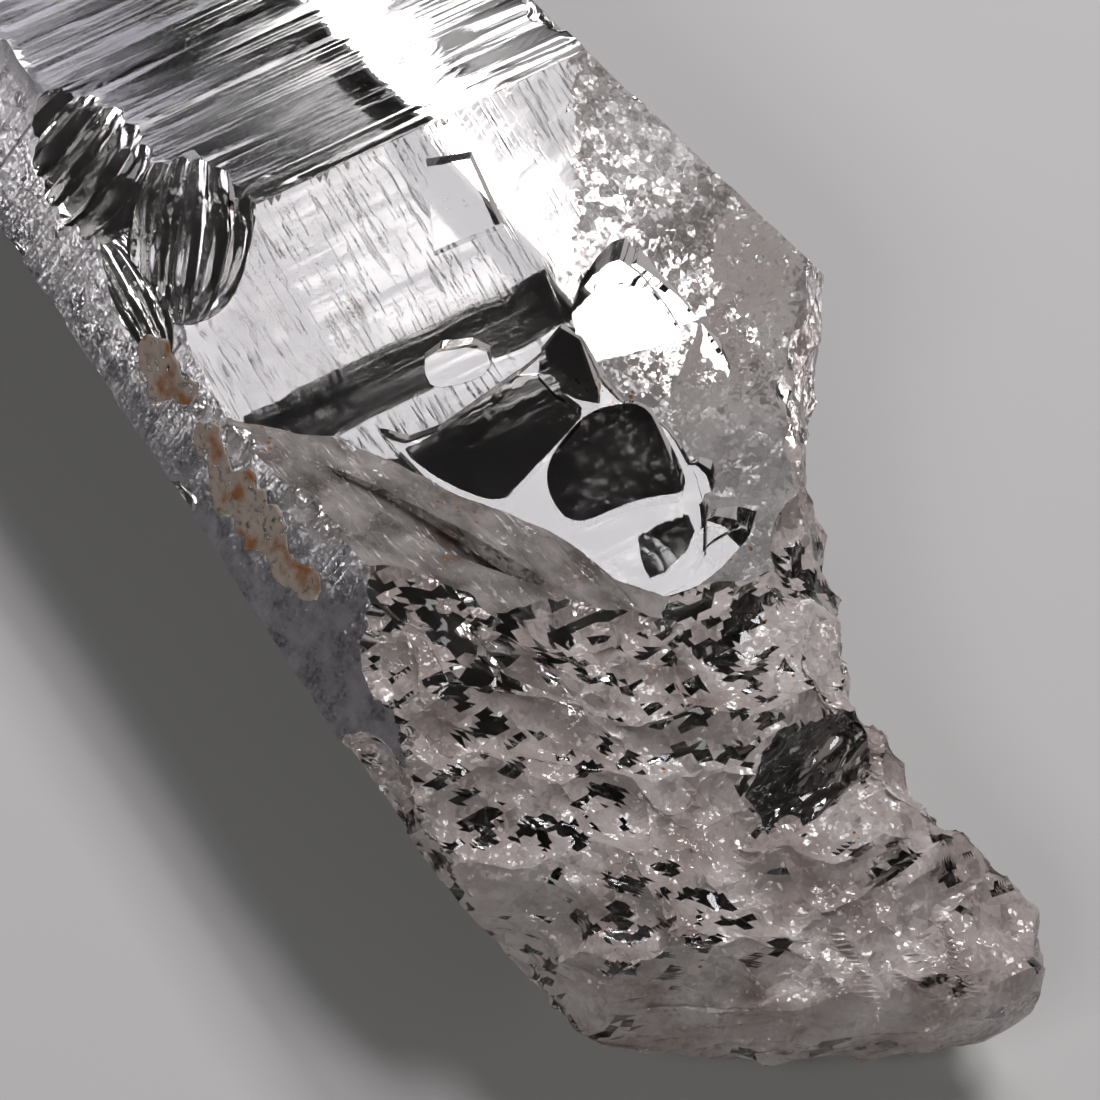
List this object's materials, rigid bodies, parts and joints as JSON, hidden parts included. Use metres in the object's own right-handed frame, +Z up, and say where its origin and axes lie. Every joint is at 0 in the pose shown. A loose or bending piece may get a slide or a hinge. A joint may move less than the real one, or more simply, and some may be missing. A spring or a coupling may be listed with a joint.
{
  "type": "quartz crystal point",
  "caption": "Clear tapering six-sided quartz crystal with ledged faces and a faceted point, its root broken in a shell-shaped bowl and a rough milky lump. Lies flat.",
  "frame": {"origin": "middle of the crystal's box, on the flat face it rests on", "axes": "+X along the crystal towards its point, +Z up, away from the flat face it rests on"},
  "size_m": [0.1054, 0.0356, 0.0181],
  "materials": {
    "clear_quartz": "glossy, clear, with fine growth lines",
    "milky_quartz": "rough broken, cloudy, sparkling",
    "iron_stain": "matt, tan with rust spots"
  },
  "bodies": {
    "root": {"quartz_point": "clear_quartz"}
  },
  "joints": []
}
